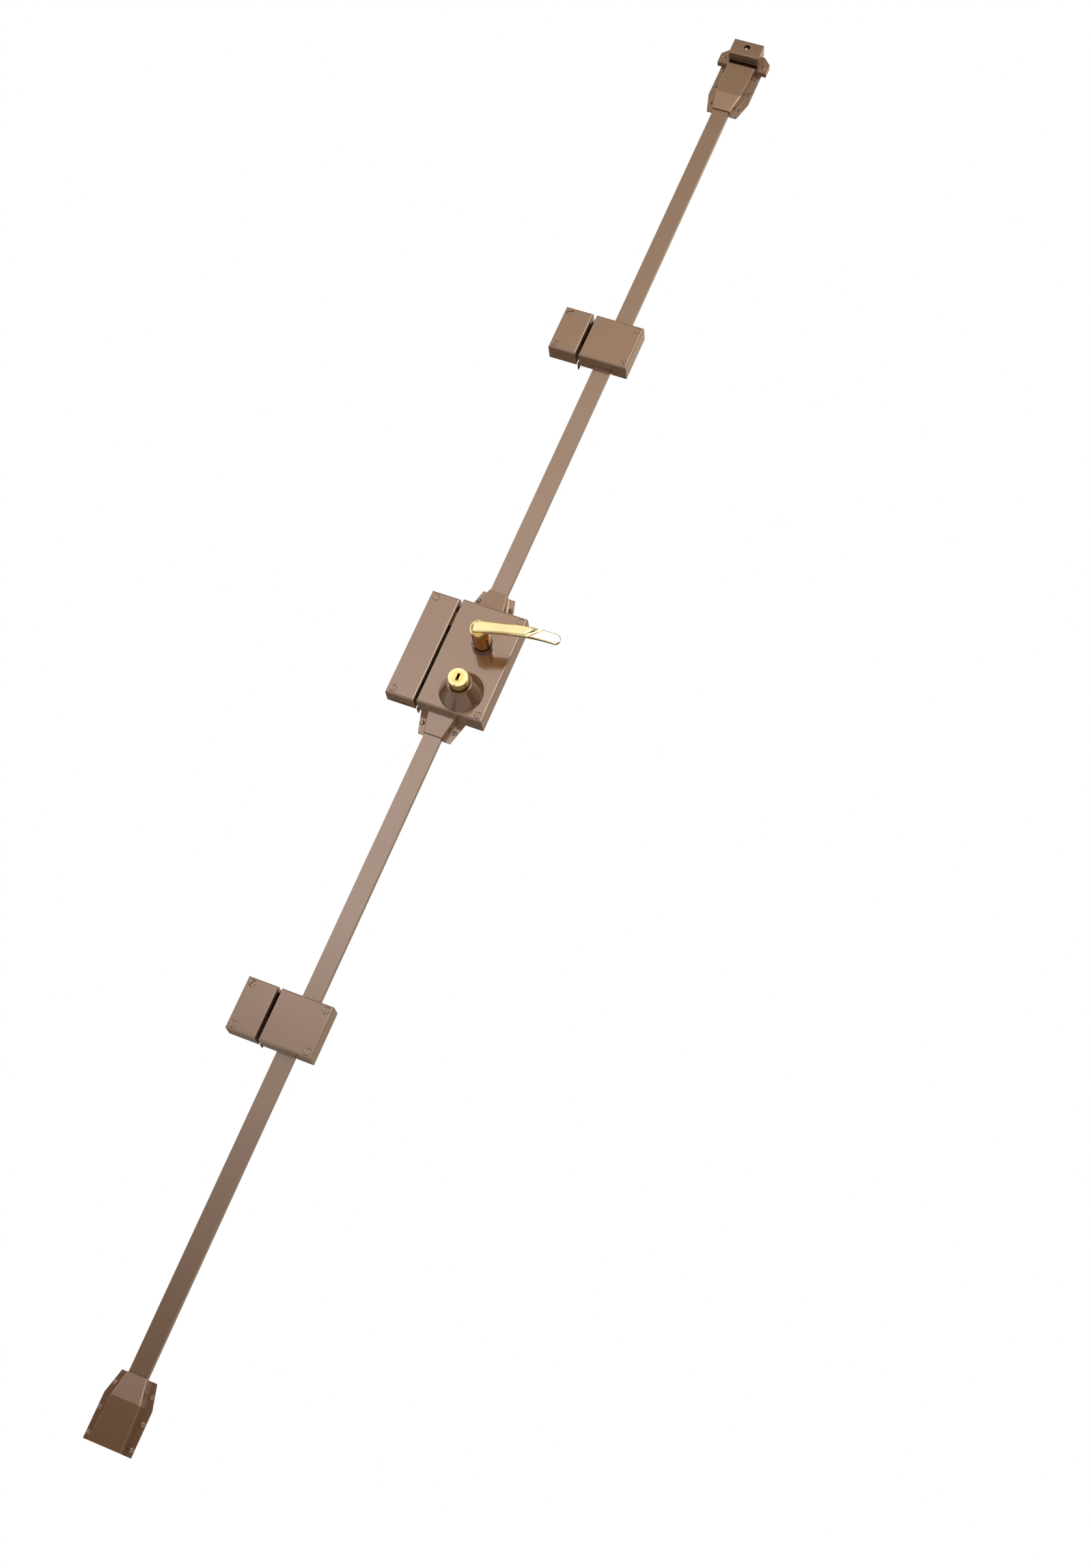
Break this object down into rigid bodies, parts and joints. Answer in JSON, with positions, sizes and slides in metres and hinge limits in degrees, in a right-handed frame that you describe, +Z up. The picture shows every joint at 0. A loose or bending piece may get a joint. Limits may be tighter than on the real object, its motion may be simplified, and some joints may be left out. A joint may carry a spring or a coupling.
{
  "type": "multipoint lock",
  "caption": "Surface-mounted multipoint door lock in bronze-brown paint, with a brass cylinder in a cone guard, a brass lever handle, vertical rods, side bolts and keepers.",
  "frame": {"origin": "on the door's face, behind the rods' centre line, at half the case's height", "axes": "+X along the door's width away from the keepers, +Y into the door, +Z up along the rods"},
  "size_m": [0.195, 0.0958, 2.0715],
  "materials": {
    "brown_paint": "gloss",
    "brass": "polished",
    "steel": "satin",
    "black_plate": "satin"
  },
  "bodies": {
    "lock_body": {"case_cover": "brown_paint", "case_back_plate": "black_plate", "case_cover_screws": "brown_paint", "cylinder_guard": "brown_paint", "cylinder_body": "brass", "handle_collar": "brown_paint", "latch_spring": "steel", "upper_case_guide": "brown_paint", "upper_case_guide_screws": "brown_paint", "lower_case_guide": "brown_paint", "lower_case_guide_screws": "brown_paint", "top_guide": "brown_paint", "top_guide_screws": "brown_paint", "bottom_guide": "brown_paint", "bottom_guide_screws": "brown_paint", "top_keeper": "brown_paint", "top_keeper_screws": "brown_paint", "top_keeper_centre_screw": "steel", "centre_keeper_cover": "brown_paint", "centre_keeper_plate": "black_plate", "centre_keeper_screws": "brown_paint", "upper_box_cover": "brown_paint", "upper_box_plate": "black_plate", "upper_box_screws": "brown_paint", "upper_keeper_cover": "brown_paint", "upper_keeper_plate": "black_plate", "upper_keeper_screws": "brown_paint", "lower_box_cover": "brown_paint", "lower_box_plate": "black_plate", "lower_box_screws": "brown_paint", "lower_keeper_cover": "brown_paint", "lower_keeper_plate": "black_plate", "lower_keeper_screws": "brown_paint"},
    "handle": {"lever_handle": "brass", "handle_spindle": "steel", "follower": "steel"},
    "latch": {"latch_bolt": "steel"},
    "upper_rods": {"upper_rod": "brown_paint", "upper_rack": "steel", "upper_end_bolt": "steel"},
    "lower_rods": {"lower_rod": "brown_paint", "lower_rack": "steel", "lower_end_bolt": "steel"},
    "centre_bolt": {"centre_deadbolt": "steel"},
    "upper_bolt": {"upper_box_bolt": "steel"},
    "lower_bolt": {"lower_box_bolt": "steel"},
    "key_plug": {"cylinder_plug": "brass", "keyway_shutter": "steel", "drive_pinion": "steel"}
  },
  "joints": [
    {"name": "handle_turn", "type": "hinge", "parent": "lock_body", "child": "handle", "pos_m": [0.015, 0, 0.023], "axis": [0, 1, 0], "range_deg": [0, 25], "stiffness_Nm_per_rad": 0.6, "springref_deg": -20.05},
    {"name": "latch_slide", "type": "slide", "parent": "lock_body", "child": "latch", "axis": [1, 0, 0], "range_m": [0, 0.01201], "deforming": ["latch_spring"]},
    {"name": "upper_rod_slide", "type": "slide", "parent": "lock_body", "child": "upper_rods", "axis": [0, 0, 1], "range_m": [0, 0.02]},
    {"name": "lower_rod_slide", "type": "slide", "parent": "lock_body", "child": "lower_rods", "axis": [0, 0, -1], "range_m": [0, 0.02]},
    {"name": "centre_bolt_slide", "type": "slide", "parent": "lock_body", "child": "centre_bolt", "axis": [-1, 0, 0], "range_m": [0, 0.02]},
    {"name": "upper_bolt_slide", "type": "slide", "parent": "lock_body", "child": "upper_bolt", "axis": [-1, 0, 0], "range_m": [0, 0.02]},
    {"name": "lower_bolt_slide", "type": "slide", "parent": "lock_body", "child": "lower_bolt", "axis": [-1, 0, 0], "range_m": [0, 0.02]},
    {"name": "key_turn", "type": "hinge", "parent": "lock_body", "child": "key_plug", "pos_m": [0.015, 0, -0.046], "axis": [0, -1, 0], "range_deg": [0, 360]}
  ],
  "couplings": [
    {"joint": "latch_slide", "follows": "handle_turn", "m_per_rad": 0.027502},
    {"joint": "lower_rod_slide", "follows": "upper_rod_slide", "ratio": 1},
    {"joint": "centre_bolt_slide", "follows": "upper_rod_slide", "ratio": 1},
    {"joint": "upper_bolt_slide", "follows": "upper_rod_slide", "ratio": 1},
    {"joint": "lower_bolt_slide", "follows": "upper_rod_slide", "ratio": 1},
    {"joint": "key_turn", "follows": "upper_rod_slide", "rad_per_m": 314.16}
  ]
}
